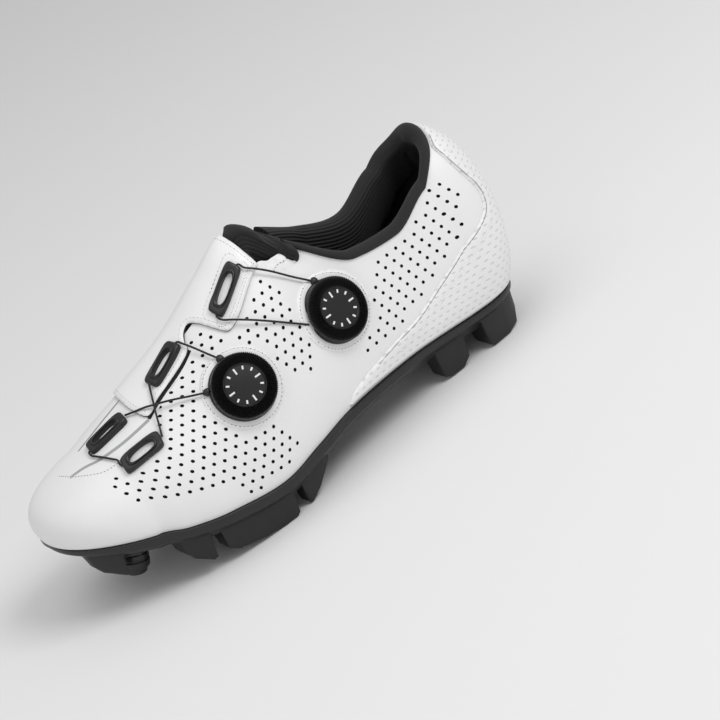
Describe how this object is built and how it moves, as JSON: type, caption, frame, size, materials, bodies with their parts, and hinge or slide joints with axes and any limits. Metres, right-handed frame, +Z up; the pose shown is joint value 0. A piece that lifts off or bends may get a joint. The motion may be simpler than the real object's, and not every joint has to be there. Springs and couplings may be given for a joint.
{
  "type": "cycling shoe",
  "caption": "Left mountain bike shoe in white with a black ribbed collar, lugged sole, instep flap, wire laces and two round dials.",
  "frame": {"origin": "centre of the bounding box at the ground plane that the shoe stands on", "axes": "+X from heel to toe, +Y towards the outer side of the foot, +Z up"},
  "size_m": [0.2812, 0.0892, 0.1215],
  "materials": {
    "white_upper": "semi-gloss coated upper with small pinholes",
    "white_flap": "semi-gloss coated flap with slits and a pressed groove",
    "white_counter": "semi-gloss coated heel overlay with fine dimples",
    "black_pad": "ribbed knit over foam, matt",
    "black_knit": "ribbed knit, matt",
    "black_insole": "matt fabric on foam",
    "black_plate": "satin moulded plate",
    "black_rubber": "matt moulded lugs",
    "black_dial": "satin knurled knob",
    "black_base": "matt moulded base",
    "black_guide": "matt moulded guide",
    "dark_lace": "thin coated cable",
    "dark_stud": "matt hard stud",
    "steel_bolt": "dark satin socket head"
  },
  "bodies": {
    "root": {"bolt_front_inner": "steel_bolt", "bolt_front_outer": "steel_bolt", "bolt_rear_inner": "steel_bolt", "bolt_rear_outer": "steel_bolt", "collar_pad": "black_pad", "dial_base_front": "black_base", "dial_base_rear": "black_base", "dial_knob_front": "black_dial", "dial_knob_rear": "black_dial", "guide_flap_front": "black_guide", "guide_flap_rear": "black_guide", "guide_toe_inner": "black_guide", "guide_toe_outer": "black_guide", "heel_counter": "white_counter", "insole": "black_insole", "instep_flap": "white_flap", "lace_cross": "dark_lace", "lace_front_lower": "dark_lace", "lace_front_upper": "dark_lace", "lace_rear_lower": "dark_lace", "lace_rear_upper": "dark_lace", "lug_arch_inner": "black_rubber", "lug_arch_outer": "black_rubber", "lug_ball_inner": "black_rubber", "lug_ball_outer": "black_rubber", "lug_heel_front_inner": "black_rubber", "lug_heel_front_outer": "black_rubber", "lug_heel_rear_inner": "black_rubber", "lug_heel_rear_outer": "black_rubber", "lug_mid_inner": "black_rubber", "lug_mid_outer": "black_rubber", "lug_toe_inner": "black_rubber", "lug_toe_outer": "black_rubber", "sole_plate": "black_plate", "stud_inner": "dark_stud", "stud_outer": "dark_stud", "tongue": "black_knit", "upper": "white_upper"}
  },
  "joints": []
}
